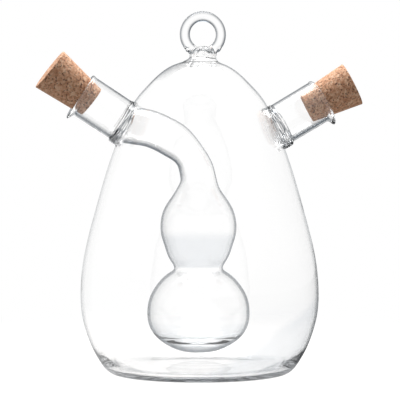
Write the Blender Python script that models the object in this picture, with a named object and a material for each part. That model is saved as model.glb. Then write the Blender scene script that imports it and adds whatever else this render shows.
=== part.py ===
"""Two-in-one oil and vinegar cruet of clear blown glass with two corks.

A pear-shaped vessel holds one liquid. A flask of two bulbs for the other liquid hangs inside it
by its bent neck, which is fused into the vessel's left shoulder. Each liquid has its own spout
and cork, and a loop of glass rod on a solid finial closes the top.

Lengths are in metres. The vessel stands on z = 0 and turns about the z axis; the left spout
points to -x and the right spout to +x.
"""

from math import acos, cos, hypot, pi, radians, sin

import bmesh
import bpy
from mathutils import Matrix, Vector

# Gaps between pieces
FUSE_GAP = 0.0003  # between glass pieces that are fused together on the real cruet
SEAT_GAP = 0.0003  # between a cork and the bore that it is pressed into

# Outer vessel
VESSEL_HEIGHT = 0.139  # from the foot to the rim under the finial
BELLY_RADIUS = 0.0535
VESSEL_WALL = 0.0016
FOOT_WALL = 0.0026  # the glass gathers at the foot, and thins up the heel
HEEL_HEIGHT = 0.012  # above this the wall has its plain thickness
PUNT_DEPTH = 0.0032  # how far the middle of the underside is pushed up
FLOOR_RISE = 0.0028  # how far the middle of the floor inside stands above its edge

# Outline of the vessel's outside from the rim down to the foot's outer edge, as shares of
# BELLY_RADIUS and VESSEL_HEIGHT
VESSEL_OUTLINE_SHARES = (
    (0.202, 1.000),
    (0.334, 0.969),
    (0.438, 0.930),
    (0.526, 0.891),
    (0.634, 0.809),
    (0.738, 0.705),
    (0.824, 0.600),
    (0.908, 0.483),
    (0.968, 0.386),
    (1.000, 0.273),
    (0.989, 0.192),
    (0.951, 0.134),
    (0.892, 0.077),
    (0.837, 0.040),
    (0.781, 0.013),
    (0.722, 0.000),
)
PUNT_RADIUS_SHARE = 0.645  # inner edge of the flat foot, as a share of BELLY_RADIUS

# Corks, one shape for both
CORK_LENGTH = 0.0238
CORK_TOP_RADIUS = 0.0102
CORK_END_RADIUS = 0.0072
CORK_EDGE = 0.0004  # the worn edge of each end
LEFT_CORK_DEPTH = 0.0060  # how much of the cork is inside the mouth
RIGHT_CORK_DEPTH = 0.0082
LEFT_CORK_LIFT = radians(4.7)  # the corks sit askew: how far the top is lifted off the spout's axis
LEFT_CORK_TURN = radians(2.3)  # and how far it is turned to the front
RIGHT_CORK_LIFT = radians(-3.1)
RIGHT_CORK_TURN = radians(7.5)

# Spouts
SPOUT_MOUTH_WALL = 0.00095  # beside the cork
SPOUT_ROOT_WALL = 0.0014
SPOUT_FLARE = 0.0001  # how much wider the tube is at the mouth than at the root, in radius
LIP_REACH = 0.0003  # how far the rolled lip stands out from the tube
POUR_REACH = 0.0025  # how much further it is drawn out at the bottom, for pouring
LIP_LENGTH = 0.0018
LIP_RUN = 0.0033  # length of the tube's end that bends out to the lip
LIP_BACK_SHARE = 0.42  # of POUR_REACH, behind the lip
LEFT_SPOUT_LENGTH = 0.0234  # from the vessel's outside to the mouth, along the axis
RIGHT_SPOUT_LENGTH = 0.0250
LEFT_SPOUT_RISE = radians(33.0)
RIGHT_SPOUT_RISE = radians(30.5)
LEFT_SPOUT_HEIGHT_SHARE = 0.811  # where the axis meets the vessel, as a share of VESSEL_HEIGHT
RIGHT_SPOUT_HEIGHT_SHARE = 0.796

# Ring seals round the roots of the spouts
SEAL_WALL = 0.0010
LEFT_SEAL_REACH = 0.0022  # along the spout's axis, outwards from the vessel's outside
RIGHT_SEAL_REACH = 0.0036
SEAL_INNER_REACH = 0.0034
SEAL_ROUND = 0.0004

# Inner flask
FLASK_WALL = 0.0013
FLASK_BASE_WALL = 0.0045
FLASK_HEEL_HEIGHT = 0.008  # above this the flask's wall has its plain thickness
FLASK_CLEARANCE = 0.0039  # between the flask and the vessel's floor
FLASK_OFFSET = -0.0005  # the flask hangs a little to the left of the vessel's axis
LOWER_BULB_RADIUS = 0.0230
UPPER_BULB_RADIUS = 0.0171
WAIST_RADIUS = 0.0110
NECK_RADIUS = 0.0083
NECK_LEAD = 0.0009  # the neck runs straight this far past the ring seal before it bends
GOURD_HEIGHT_SHARE = 0.5554  # both bulbs, as a share of VESSEL_HEIGHT

# Bulbs from the bottom up: shares of the bulb's own radius, and of the gourd's height
LOWER_BULB_SHARES = (
    (0.200, 0.004),
    (0.380, 0.015),
    (0.560, 0.037),
    (0.720, 0.066),
    (0.880, 0.112),
    (0.970, 0.165),
    (1.000, 0.232),
    (0.960, 0.315),
    (0.855, 0.378),
    (0.715, 0.430),
    (0.570, 0.465),
)
WAIST_HEIGHT_SHARE = 0.487
UPPER_BULB_SHARES = (
    (0.745, 0.540),
    (0.880, 0.612),
    (0.985, 0.690),
    (0.995, 0.755),
    (0.930, 0.822),
    (0.760, 0.890),
    (0.590, 0.945),
)
# Neck from the gourd to the ring seal: shares of its run to the left and of its rise, and of
# NECK_RADIUS, because the glass draws in where it bends
NECK_PATH_SHARES = (
    (0.000, 0.000, 0.99),
    (0.037, 0.221, 0.93),
    (0.128, 0.443, 0.85),
    (0.356, 0.713, 0.96),
    (0.587, 0.868, 1.01),
    (0.830, 0.981, 1.04),
)

# Finial, the solid glass tip under the loop
FINIAL_HEIGHT = 0.0045  # from the vessel's rim to the flat top under the loop's feet
FINIAL_WAIST_RADIUS = 0.0058
FINIAL_EDGE = 0.0002  # how far the flat top reaches past the loop's feet
FINIAL_PLUG_DEPTH = 0.0030  # how far its rounded underside hangs into the vessel
TIP_LEAN = 0.0015  # how far the finial's top and the loop stand right of the vessel's axis
# Outline from the waist down to the rim: shares of the way out from the waist's radius to the
# rim's, and of the height above the rim
FINIAL_FLARE_SHARES = (
    (0.00, 0.73),
    (0.16, 0.49),
    (0.46, 0.24),
    (1.00, 0.00),
)

# Hanging loop, a bent rod
LOOP_RADIUS = 0.0082  # to the rod's middle
LOOP_ROD_RADIUS = 0.0023
LOOP_LEG = 0.0008  # straight run below the round part
LOOP_FOOT_BEND_RADIUS = 0.0024
LOOP_STUB = 0.0002  # straight end of each foot
LOOP_SWEEP = radians(140.0)  # from the top of the loop to the leg, on each side

# Fineness of the meshes
VESSEL_SEGMENTS = 48
FLASK_SEGMENTS = 24
TUBE_SEGMENTS = 28
LOOP_STEPS = 14
HOLE_CUT_REACH = 0.008  # how far the cutters for the holes reach, each way from the wall
MERGE_DISTANCE = 0.00001
SMOOTH_ANGLE = radians(38.0)

GLASS_COLOUR = (0.93, 0.95, 0.95, 1.0)
GLASS_ROUGHNESS = 0.02
GLASS_IOR = 1.47
CORK_COLOUR = (0.52, 0.33, 0.20, 1.0)
CORK_ROUGHNESS = 0.85


# Curves and outlines


def catmull_rom(knots, steps):
    """A smooth curve through the knots, with this many steps from each knot to the next."""
    ends = [tuple(2 * a - b for a, b in zip(knots[0], knots[1]))]
    tail = [tuple(2 * a - b for a, b in zip(knots[-1], knots[-2]))]
    line = ends + list(knots) + tail
    points = []
    for p0, p1, p2, p3 in zip(line, line[1:], line[2:], line[3:]):
        for step in range(steps):
            t = step / steps
            points.append(
                tuple(
                    0.5 * (2 * b + (c - a) * t + (2 * a - 5 * b + 4 * c - d) * t * t
                           + (3 * b - a - 3 * c + d) * t ** 3)
                    for a, b, c, d in zip(p0, p1, p2, p3)
                )
            )
    points.append(tuple(knots[-1]))
    return points


def ease(value):
    """0 below 0, 1 above 1, and a smooth rise between them."""
    t = min(max(value, 0.0), 1.0)
    return t * t * (3 - 2 * t)


def inset(points, thickness_at):
    """The outline moved towards its axis side by the thickness at each height."""
    moved = []
    for i, (radius, height) in enumerate(points):
        before = points[max(i - 1, 0)]
        after = points[min(i + 1, len(points) - 1)]
        run, drop = after[0] - before[0], before[1] - after[1]
        length = hypot(run, drop)
        wall = thickness_at(height)
        moved.append((radius - wall * drop / length, height - wall * run / length))
    return moved


def radius_at(outline, height):
    """The outline's radius at a height."""
    for (r0, z0), (r1, z1) in zip(outline, outline[1:]):
        if min(z0, z1) <= height <= max(z0, z1) and z0 != z1:
            return r0 + (r1 - r0) * (height - z0) / (z1 - z0)
    return outline[-1][0]


def round_corner(corner, radius, come, go, steps):
    """Points round a square corner of an outline that comes in one direction and goes in another."""
    points = []
    for step in range(steps + 1):
        turn = 0.5 * pi * step / steps
        points.append(
            tuple(
                c + radius * (b * (1 - cos(turn)) - a * (1 - sin(turn)))
                for c, a, b in zip(corner, come, go)
            )
        )
    return points


# Objects


def glass_material():
    material = bpy.data.materials.new("clear_glass")
    material.use_nodes = True
    shader = material.node_tree.nodes["Principled BSDF"]
    shader.inputs["Base Color"].default_value = GLASS_COLOUR
    shader.inputs["Metallic"].default_value = 0.0
    shader.inputs["Roughness"].default_value = GLASS_ROUGHNESS
    shader.inputs["IOR"].default_value = GLASS_IOR
    shader.inputs["Transmission Weight"].default_value = 1.0
    return material


def cork_material():
    material = bpy.data.materials.new("natural_cork")
    material.use_nodes = True
    shader = material.node_tree.nodes["Principled BSDF"]
    shader.inputs["Base Color"].default_value = CORK_COLOUR
    shader.inputs["Metallic"].default_value = 0.0
    shader.inputs["Roughness"].default_value = CORK_ROUGHNESS
    return material


def add_object(name, data, material, parent=None, matrix=Matrix.Identity(4)):
    piece = bpy.data.objects.new(name, data)
    bpy.context.collection.objects.link(piece)
    if material is not None:
        data.materials.append(material.copy())
        data.materials[0].name = name + "_" + material.name
    piece.parent = parent
    piece.matrix_basis = matrix
    return piece


def turned(name, profile, closed, segments, material, parent=None, matrix=Matrix.Identity(4)):
    """A body turned about its own z axis. The profile runs down its outer side."""
    mesh = bpy.data.meshes.new(name)
    count = len(profile)
    edges = [(i, i + 1) for i in range(count - 1)]
    if closed:
        edges.append((count - 1, 0))
    mesh.from_pydata([(radius, 0.0, height) for radius, height in profile], edges, [])
    piece = add_object(name, mesh, material, parent, matrix)
    screw = piece.modifiers.new("turn", "SCREW")
    screw.axis = "Z"
    screw.angle = 2 * pi
    screw.steps = segments
    screw.render_steps = segments
    screw.use_merge_vertices = True
    screw.merge_threshold = MERGE_DISTANCE
    screw.use_smooth_shade = True
    return piece


def lofted(name, rings, poles, material, parent=None):
    """A closed skin over rings of points.

    With poles, a fan closes each end. Without them, the last ring joins the first, as on a tube
    whose rings run along its inside and back along its outside.
    """
    bm = bmesh.new()
    loops = [[bm.verts.new(point) for point in ring] for ring in rings]
    pairs = list(zip(loops, loops[1:]))
    if not poles:
        pairs.append((loops[-1], loops[0]))
    for low, high in pairs:
        count = len(low)
        for i in range(count):
            j = (i + 1) % count
            bm.faces.new((low[i], low[j], high[j], high[i]))
    for loop, pole in zip((loops[0], loops[-1]), poles):
        tip = bm.verts.new(pole)
        for i in range(len(loop)):
            bm.faces.new((loop[(i + 1) % len(loop)], loop[i], tip))
    bmesh.ops.recalc_face_normals(bm, faces=bm.faces)
    mesh = bpy.data.meshes.new(name)
    bm.to_mesh(mesh)
    bm.free()
    mesh.shade_smooth()
    mesh.set_sharp_from_angle(angle=SMOOTH_ANGLE)
    return add_object(name, mesh, material, parent)


# Sizes that follow from the driving dimensions

VESSEL_KNOTS = [(r * BELLY_RADIUS, z * VESSEL_HEIGHT) for r, z in VESSEL_OUTLINE_SHARES]
VESSEL_OUTLINE = catmull_rom(VESSEL_KNOTS, 2)
PUNT_RADIUS = PUNT_RADIUS_SHARE * BELLY_RADIUS
FLOOR_HEIGHT = FOOT_WALL + FLOOR_RISE  # top of the floor, at its middle
RIM_RADIUS = VESSEL_OUTLINE[0][0]


def vessel_wall_at(height):
    return FOOT_WALL + (VESSEL_WALL - FOOT_WALL) * ease(height / HEEL_HEIGHT)


def flask_wall_at(height):
    return FLASK_BASE_WALL + (FLASK_WALL - FLASK_BASE_WALL) * ease(height / FLASK_HEEL_HEIGHT)


def cork_radius_at(depth):
    """The cork's radius this far from its narrow end."""
    return CORK_END_RADIUS + (CORK_TOP_RADIUS - CORK_END_RADIUS) * depth / CORK_LENGTH


def cork_reach(depth, lift, turn):
    """How far a cork that sits askew reaches from the spout's axis, at the mouth or at its end."""
    tilt = acos(cos(lift) * cos(turn))
    taper = (CORK_TOP_RADIUS - CORK_END_RADIUS) / CORK_LENGTH
    at_mouth = cork_radius_at(depth) / (cos(tilt) - taper * sin(tilt))
    at_end = depth * sin(tilt) + CORK_END_RADIUS * cos(tilt)
    return max(at_mouth, at_end)


# Both spouts have one bore, wide enough for either cork as it sits.
BORE_RADIUS = SEAT_GAP + max(
    cork_reach(LEFT_CORK_DEPTH, LEFT_CORK_LIFT, LEFT_CORK_TURN),
    cork_reach(RIGHT_CORK_DEPTH, RIGHT_CORK_LIFT, RIGHT_CORK_TURN),
)
SEAT_DEPTH = max(LEFT_CORK_DEPTH, RIGHT_CORK_DEPTH)
ROOT_RADIUS = BORE_RADIUS + SPOUT_MOUTH_WALL - SPOUT_FLARE
ROOT_BORE_RADIUS = ROOT_RADIUS - SPOUT_ROOT_WALL


def tube_radius_at(distance, length):
    """The spout's outside, this far along it from the vessel, without the lip."""
    return ROOT_RADIUS + SPOUT_FLARE * distance / length


def seal_bore(length, reach):
    return tube_radius_at(reach, length) + FUSE_GAP


def seal_radius(length, reach):
    return seal_bore(length, reach) + SEAL_WALL


# Pieces


def outer_vessel(material):
    """The blown vessel: floor, wall and rim, then the outside, the flat foot and the punt."""
    inside = [point for point in inset(VESSEL_KNOTS, vessel_wall_at) if point[1] > FOOT_WALL]
    top, second = inside[0], inside[1]
    slope = (second[0] - top[0]) / (second[1] - top[1])
    rim_inside = (top[0] + slope * (VESSEL_HEIGHT - top[1]), VESSEL_HEIGHT)
    floor_edge = inside[-1]
    steps = 4
    floor = []
    for step in range(steps):
        share = step / steps
        rise = (FLOOR_HEIGHT - floor_edge[1]) * 0.5 * (1 + cos(pi * share))
        floor.append((floor_edge[0] * share, floor_edge[1] + rise))
    punt = []
    for step in range(steps + 1):
        share = 1 - step / steps
        punt.append((PUNT_RADIUS * share, PUNT_DEPTH * 0.5 * (1 + cos(pi * share))))
    profile = floor + list(reversed(inside)) + [rim_inside] + VESSEL_OUTLINE + punt
    return turned("outer_vessel", profile, False, VESSEL_SEGMENTS, material), rim_inside[0]


def cut_hole(vessel, name, frame, length, reach):
    """The hole in the shoulder that a ring seal fills."""
    bm = bmesh.new()
    radius = seal_radius(length, reach) + FUSE_GAP
    bmesh.ops.create_cone(
        bm,
        cap_ends=True,
        segments=TUBE_SEGMENTS,
        radius1=radius,
        radius2=radius,
        depth=2 * HOLE_CUT_REACH,
    )
    mesh = bpy.data.meshes.new(name)
    bm.to_mesh(mesh)
    bm.free()
    cutter = add_object(name, mesh, None, frame)
    cutter.hide_render = True
    cutter.display_type = "WIRE"
    cut = vessel.modifiers.new(name, "BOOLEAN")
    cut.operation = "DIFFERENCE"
    cut.solver = "EXACT"
    cut.object = cutter


def spout_frame(name, side, rise, height):
    """An empty where the spout's axis meets the vessel, with its z axis out along the spout."""
    frame = bpy.data.objects.new(name, None)
    bpy.context.collection.objects.link(frame)
    place = Matrix.Translation((side * radius_at(VESSEL_OUTLINE, height), 0.0, height))
    frame.matrix_basis = place @ Matrix.Rotation(side * (0.5 * pi - rise), 4, "Y")
    return frame


def spout(name, frame, side, length, root, material):
    """A tube from its root inside the ring seal to a rolled lip, drawn out at the bottom."""
    seat = length - SEAT_DEPTH
    stations = [
        (ROOT_BORE_RADIUS, root, 0.0),
        (ROOT_BORE_RADIUS, 0.5 * seat, 0.0),
        (BORE_RADIUS, seat, 0.0),
    ]
    lip_wall = tube_radius_at(length, length) + LIP_REACH - BORE_RADIUS
    turns = 5
    for turn in range(turns + 1):
        share = 0.5 * (1 - cos(pi * turn / turns))
        height = length - 0.5 * LIP_LENGTH * (1 - sin(pi * turn / turns))
        stations.append((BORE_RADIUS + lip_wall * share, height, share))
    bends = 3
    for bend in range(bends + 1):
        share = bend / bends
        height = length - LIP_LENGTH - (LIP_RUN - LIP_LENGTH) * share
        stations.append((tube_radius_at(height, length), height, LIP_BACK_SHARE * (1 - share) ** 2))
    stations.append((tube_radius_at(0.5 * length, length), 0.5 * length, 0.0))
    stations.append((tube_radius_at(root, length), root, 0.0))

    rings = []
    for radius, height, share in stations:
        ring = []
        for i in range(TUBE_SEGMENTS):
            turn = 2 * pi * i / TUBE_SEGMENTS
            drawn = radius + share * POUR_REACH * (0.5 * (1 + side * cos(turn))) ** 2
            ring.append((drawn * cos(turn), drawn * sin(turn), height))
        rings.append(ring)
    return lofted(name, rings, (), material, frame)


def ring_seal(name, frame, length, reach, material):
    """The bead round a spout's root, which fills the hole in the vessel's shoulder."""
    low, high = -SEAL_INNER_REACH, reach
    inner, outer = seal_bore(length, reach), seal_radius(length, reach)
    profile = (
        round_corner((inner, high), SEAL_ROUND, (0, 1), (1, 0), 1)
        + round_corner((outer, high), SEAL_ROUND, (1, 0), (0, -1), 1)
        + round_corner((outer, low), SEAL_ROUND, (0, -1), (-1, 0), 1)
        + round_corner((inner, low), SEAL_ROUND, (-1, 0), (0, 1), 1)
    )
    return turned(name, profile, True, TUBE_SEGMENTS, material, frame)


def gourd_outline():
    """The outside of both bulbs from the bottom up, in radius and height above the bottom."""
    height = GOURD_HEIGHT_SHARE * VESSEL_HEIGHT
    waist = (WAIST_RADIUS, WAIST_HEIGHT_SHARE * height)
    lower = [(r * LOWER_BULB_RADIUS, z * height) for r, z in LOWER_BULB_SHARES]
    upper = [(r * UPPER_BULB_RADIUS, z * height) for r, z in UPPER_BULB_SHARES]
    top = (NECK_RADIUS * NECK_PATH_SHARES[0][2], height)
    return catmull_rom(lower + [waist], 2)[:-1] + catmull_rom([waist] + upper + [top], 2)


def ring_of(middle, across, radius, segments):
    """Points round a circle; across lies in the circle and square to the y axis."""
    points = []
    for i in range(segments):
        turn = 2 * pi * i / segments
        points.append(middle + radius * (cos(turn) * across + sin(turn) * Vector((0, 1, 0))))
    return points


def inner_flask(frame, material):
    """Both bulbs and the bent neck as one shell, up to the ring seal."""
    bottom = FLOOR_HEIGHT + FLASK_CLEARANCE
    outline = gourd_outline()
    neck_foot = Vector((FLASK_OFFSET, 0.0, bottom + outline[-1][1]))
    lead = SEAL_INNER_REACH + NECK_LEAD
    seal_start = frame.matrix_basis @ Vector((0.0, 0.0, -lead))
    seal_end = frame.matrix_basis @ Vector((0.0, 0.0, -FUSE_GAP))
    run, rise = seal_start.x - neck_foot.x, seal_start.z - neck_foot.z
    knots = [
        (neck_foot.x + x * run, neck_foot.z + z * rise, share * NECK_RADIUS)
        for x, z, share in NECK_PATH_SHARES
    ]
    knots.append((seal_start.x, seal_start.z, ROOT_RADIUS))
    path = catmull_rom(knots, 2)
    path.append((seal_end.x, seal_end.z, ROOT_RADIUS))

    up = Vector((1.0, 0.0, 0.0))
    outer = [
        (Vector((FLASK_OFFSET, 0.0, bottom + z)), up, radius) for radius, z in outline[:-1]
    ]
    outer.append((Vector((path[0][0], 0.0, path[0][1])), up, path[0][2]))
    for i, (x, z, radius) in enumerate(path[1:], 1):
        before = path[min(i - 1, len(path) - 2)]
        after = path[min(i + 1, len(path) - 1)]
        if i == len(path) - 2:
            before = path[i]
        way = Vector((after[0] - before[0], 0.0, after[1] - before[1])).normalized()
        outer.append((Vector((x, 0.0, z)), Vector((way.z, 0.0, -way.x)), radius))

    inside = list(reversed(inset(list(reversed(outline)), flask_wall_at)))
    inner = [(Vector((FLASK_OFFSET, 0.0, bottom + z)), up, radius) for radius, z in inside[:-1]]
    inner += [(middle, across, r - FLASK_WALL) for middle, across, r in outer[len(outline) - 1:]]

    rings = [ring_of(*ring, FLASK_SEGMENTS) for ring in outer + list(reversed(inner))]
    poles = (
        Vector((FLASK_OFFSET, 0.0, bottom)),
        Vector((FLASK_OFFSET, 0.0, bottom + FLASK_BASE_WALL)),
    )
    return lofted("inner_flask", rings, poles, material)


def loop_path():
    """Half of the rod's middle line from the loop's top, as (x, z) from the loop's middle."""
    points = []
    for step in range(LOOP_STEPS + 1):
        turn = LOOP_SWEEP * step / LOOP_STEPS
        points.append((LOOP_RADIUS * sin(turn), LOOP_RADIUS * cos(turn)))
    x, z = points[-1]
    x += LOOP_LEG * cos(LOOP_SWEEP)
    z -= LOOP_LEG * sin(LOOP_SWEEP)
    steps = 4
    for step in range(steps + 1):
        turn = LOOP_SWEEP + (0.5 * pi - LOOP_SWEEP) * step / steps
        points.append(
            (
                x + LOOP_FOOT_BEND_RADIUS * (sin(LOOP_SWEEP) - sin(turn)),
                z + LOOP_FOOT_BEND_RADIUS * (cos(LOOP_SWEEP) - cos(turn)),
            )
        )
    points.append((points[-1][0], points[-1][1] - LOOP_STUB))
    return points


def hanging_loop(floor, material):
    """The rod bent to a loop, standing on its two feet on the finial's flat top."""
    half = loop_path()
    middle = floor + FUSE_GAP - half[-1][1]
    line = [(-x, z) for x, z in reversed(half[1:])] + half
    curve = bpy.data.curves.new("hanging_loop", "CURVE")
    curve.dimensions = "3D"
    curve.bevel_depth = LOOP_ROD_RADIUS
    curve.bevel_resolution = 3
    curve.use_fill_caps = True
    spline = curve.splines.new("POLY")
    spline.points.add(len(line) - 1)
    for point, (x, z) in zip(spline.points, line):
        point.co = (x, 0.0, z, 1.0)
    spline.use_smooth = True
    place = Matrix.Translation((TIP_LEAN, 0.0, middle))
    return add_object("hanging_loop", curve, material, None, place)


def top_finial(rim_bore, material):
    """The solid tip: a flat top for the loop, a waist, a flare to the rim and a rounded plug."""
    top = VESSEL_HEIGHT + FINIAL_HEIGHT
    base = VESSEL_HEIGHT + FUSE_GAP
    edge = loop_path()[-1][0] + LOOP_ROD_RADIUS + FINIAL_EDGE
    flare = catmull_rom(
        [
            (
                FINIAL_WAIST_RADIUS + r * (RIM_RADIUS - FINIAL_WAIST_RADIUS),
                base + z * (top - base),
            )
            for r, z in FINIAL_FLARE_SHARES
        ],
        2,
    )
    plug = rim_bore - FUSE_GAP
    steps = 4
    dome = [
        (
            plug * cos(0.5 * pi * step / steps),
            VESSEL_HEIGHT - FINIAL_PLUG_DEPTH * sin(0.5 * pi * step / steps),
        )
        for step in range(steps)
    ]
    rings = []
    for radius, height in [(edge, top)] + flare + [(plug, base)] + dome:
        lean = TIP_LEAN * ease((height - base) / (flare[0][1] - base))
        rings.append(
            ring_of(Vector((lean, 0.0, height)), Vector((1.0, 0.0, 0.0)), radius, TUBE_SEGMENTS)
        )
    poles = (
        Vector((TIP_LEAN, 0.0, top)),
        Vector((0.0, 0.0, VESSEL_HEIGHT - FINIAL_PLUG_DEPTH)),
    )
    return lofted("top_finial", rings, poles, material), top


def cork(name, frame, side, length, depth, lift, turn, material):
    """A tapered cork. Its origin is on its own axis, in the plane of the spout's mouth."""
    low, high = -depth, CORK_LENGTH - depth
    profile = [
        (0.0, high),
        (CORK_TOP_RADIUS - CORK_EDGE, high),
        (CORK_TOP_RADIUS, high - CORK_EDGE),
        (cork_radius_at(depth), 0.0),
        (cork_radius_at(CORK_EDGE), low + CORK_EDGE),
        (CORK_END_RADIUS - CORK_EDGE, low),
        (0.0, low),
    ]
    skew = Matrix.Rotation(-side * lift, 4, "Y") @ Matrix.Rotation(turn, 4, "X")
    place = Matrix.Translation((0.0, 0.0, length)) @ skew
    return turned(name, profile, False, TUBE_SEGMENTS, material, frame, place)


def build():
    for old in list(bpy.data.objects):
        bpy.data.objects.remove(old, do_unlink=True)
    glass, stopper = glass_material(), cork_material()
    left = spout_frame("left_frame", -1, LEFT_SPOUT_RISE, LEFT_SPOUT_HEIGHT_SHARE * VESSEL_HEIGHT)
    right = spout_frame("right_frame", 1, RIGHT_SPOUT_RISE, RIGHT_SPOUT_HEIGHT_SHARE * VESSEL_HEIGHT)

    vessel, rim_bore = outer_vessel(glass)
    cut_hole(vessel, "left_hole_cutter", left, LEFT_SPOUT_LENGTH, LEFT_SEAL_REACH)
    cut_hole(vessel, "right_hole_cutter", right, RIGHT_SPOUT_LENGTH, RIGHT_SEAL_REACH)
    inner_flask(left, glass)
    spout("left_spout", left, -1, LEFT_SPOUT_LENGTH, 0.0, glass)
    spout("right_spout", right, 1, RIGHT_SPOUT_LENGTH, -VESSEL_WALL, glass)
    ring_seal("left_ring_seal", left, LEFT_SPOUT_LENGTH, LEFT_SEAL_REACH, glass)
    ring_seal("right_ring_seal", right, RIGHT_SPOUT_LENGTH, RIGHT_SEAL_REACH, glass)
    top, floor = top_finial(rim_bore, glass)
    hanging_loop(floor, glass)
    cork("left_cork", left, -1, LEFT_SPOUT_LENGTH, LEFT_CORK_DEPTH, LEFT_CORK_LIFT,
         LEFT_CORK_TURN, stopper)
    cork("right_cork", right, 1, RIGHT_SPOUT_LENGTH, RIGHT_CORK_DEPTH, RIGHT_CORK_LIFT,
         RIGHT_CORK_TURN, stopper)


build()
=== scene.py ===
"""Looks of the oil and vinegar cruet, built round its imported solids.

The glass of the real cruet is fused into one piece without a seam, so one closed skin stands for
the eight glass solids. Its outside runs over the vessel, the spouts, the finial and the loop. Its
two cavities, the vessel's and the inner flask's, open at the two mouths. Two natural corks close
the mouths.

Lengths are in metres, in the frame of the solids: z is up, the right spout points to +x, and the
camera stands on the -y side.
"""

from math import cos, hypot, pi, radians, sin, tan

import bmesh
import bpy
import numpy as np
from mathutils import Matrix, Vector, noise


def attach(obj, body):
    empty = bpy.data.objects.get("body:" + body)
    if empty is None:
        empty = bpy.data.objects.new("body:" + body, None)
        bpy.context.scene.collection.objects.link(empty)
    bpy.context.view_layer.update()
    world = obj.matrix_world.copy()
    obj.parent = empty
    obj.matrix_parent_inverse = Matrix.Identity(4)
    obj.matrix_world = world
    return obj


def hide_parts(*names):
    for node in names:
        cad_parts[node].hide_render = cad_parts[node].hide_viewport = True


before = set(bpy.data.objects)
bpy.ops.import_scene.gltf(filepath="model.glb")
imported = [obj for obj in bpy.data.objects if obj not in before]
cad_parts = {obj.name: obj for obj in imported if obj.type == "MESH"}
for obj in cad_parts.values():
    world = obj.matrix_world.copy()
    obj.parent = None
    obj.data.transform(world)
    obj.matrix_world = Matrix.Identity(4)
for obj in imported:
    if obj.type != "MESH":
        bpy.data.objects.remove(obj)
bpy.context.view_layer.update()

# Outer vessel
VESSEL_HEIGHT = 0.139  # from the foot to the rim under the finial
BELLY_RADIUS = 0.0535
VESSEL_WALL = 0.0016
FOOT_WALL = 0.0026
HEEL_HEIGHT = 0.012  # above this the wall has its plain thickness
PUNT_DEPTH = 0.0032
FLOOR_RISE = 0.0028
FLOOR_HEIGHT = FOOT_WALL + FLOOR_RISE
FLOOR_EDGE_RISE = 0.001
WALL_KNOT_STEP = 8
# Outline of the outside from the foot's outer edge up to the rim, as shares of BELLY_RADIUS and
# VESSEL_HEIGHT
VESSEL_OUTLINE_SHARES = (
    (0.69, 0.0), (0.722, 0.001), (0.781, 0.013), (0.837, 0.04), (0.892, 0.077), (0.951, 0.134),
    (0.989, 0.192), (1.0, 0.273), (0.968, 0.386), (0.908, 0.483), (0.824, 0.6), (0.738, 0.705),
    (0.634, 0.809), (0.526, 0.891), (0.438, 0.93), (0.334, 0.969), (0.202, 1.0),
)
PUNT_RADIUS = 0.645 * BELLY_RADIUS
PUNT_RING_DEPTH = 0.00005  # the pushed-up middle keeps rings from its making
PUNT_RING_LENGTH = 0.0052

# Finial and loop
FINIAL_HEIGHT = 0.0045  # up to the loop's feet
FINIAL_WAIST_RADIUS = 0.0058
FINIAL_TOP_RADIUS = 0.006
FINIAL_CROWN = 0.0036  # how far the melted glass rises between the loop's feet
FINIAL_PLUG_DEPTH = 0.003
TIP_LEAN = 0.0015
# Outline from the rim up to the waist: shares of the way out from the waist's radius to the rim's,
# and of the finial's height
FINIAL_FLARE_SHARES = ((0.46, 0.24), (0.16, 0.49), (0.0, 0.73))
LOOP_RADIUS = 0.0082
LOOP_ROD_RADIUS = 0.0023
LOOP_LEG = 0.0008
LOOP_FOOT_BEND_RADIUS = 0.0024
LOOP_SINK = 0.002  # how far each foot is melted into the finial
LOOP_SWEEP = radians(140.0)
LOOP_STUB = 0.0002
TIP_CUT = 0.0007  # height above the rim where the finial's own mesh starts
TIP_OVERLAP = 0.001  # how far below that the mesh is made and then cut
# Rounded top between the feet: shares of FINIAL_TOP_RADIUS and of FINIAL_CROWN
FINIAL_TOP_SHARES = ((1.0, 0.0), (0.88, 0.36), (0.66, 0.7), (0.36, 0.93), (0.0, 1.0))
# Underside inside the vessel: shares of the rim's radius and of FINIAL_PLUG_DEPTH
PLUG_SHARES = ((0.7, 0.2), (0.52, 0.44), (0.34, 0.74), (0.16, 0.95), (0.0, 1.0))
PLUG_SPREAD_SHARE = 0.88

# Spouts
BORE_RADIUS = 0.00877  # at the mouth
ROOT_BORE_RADIUS = 0.00822
ROOT_RADIUS = 0.00962
SPOUT_FLARE = 0.0001
LIP_REACH = 0.0003
POUR_REACH = 0.0025  # how far the lip is drawn out at its lowest
LIP_LENGTH = 0.0018
LIP_RUN = 0.0033
LIP_BACK_SHARE = 0.42
LIP_RISE = 0.0006  # the lip's rims start this far behind it
SEAT_DEPTH = 0.0082
# Side, rise, height where the axis meets the vessel, length, and how far out the bead reaches
LEFT_SPOUT = (-1, radians(33.0), 0.811 * VESSEL_HEIGHT, 0.0234, 0.0022)
RIGHT_SPOUT = (1, radians(30.5), 0.796 * VESSEL_HEIGHT, 0.025, 0.0036)

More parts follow.
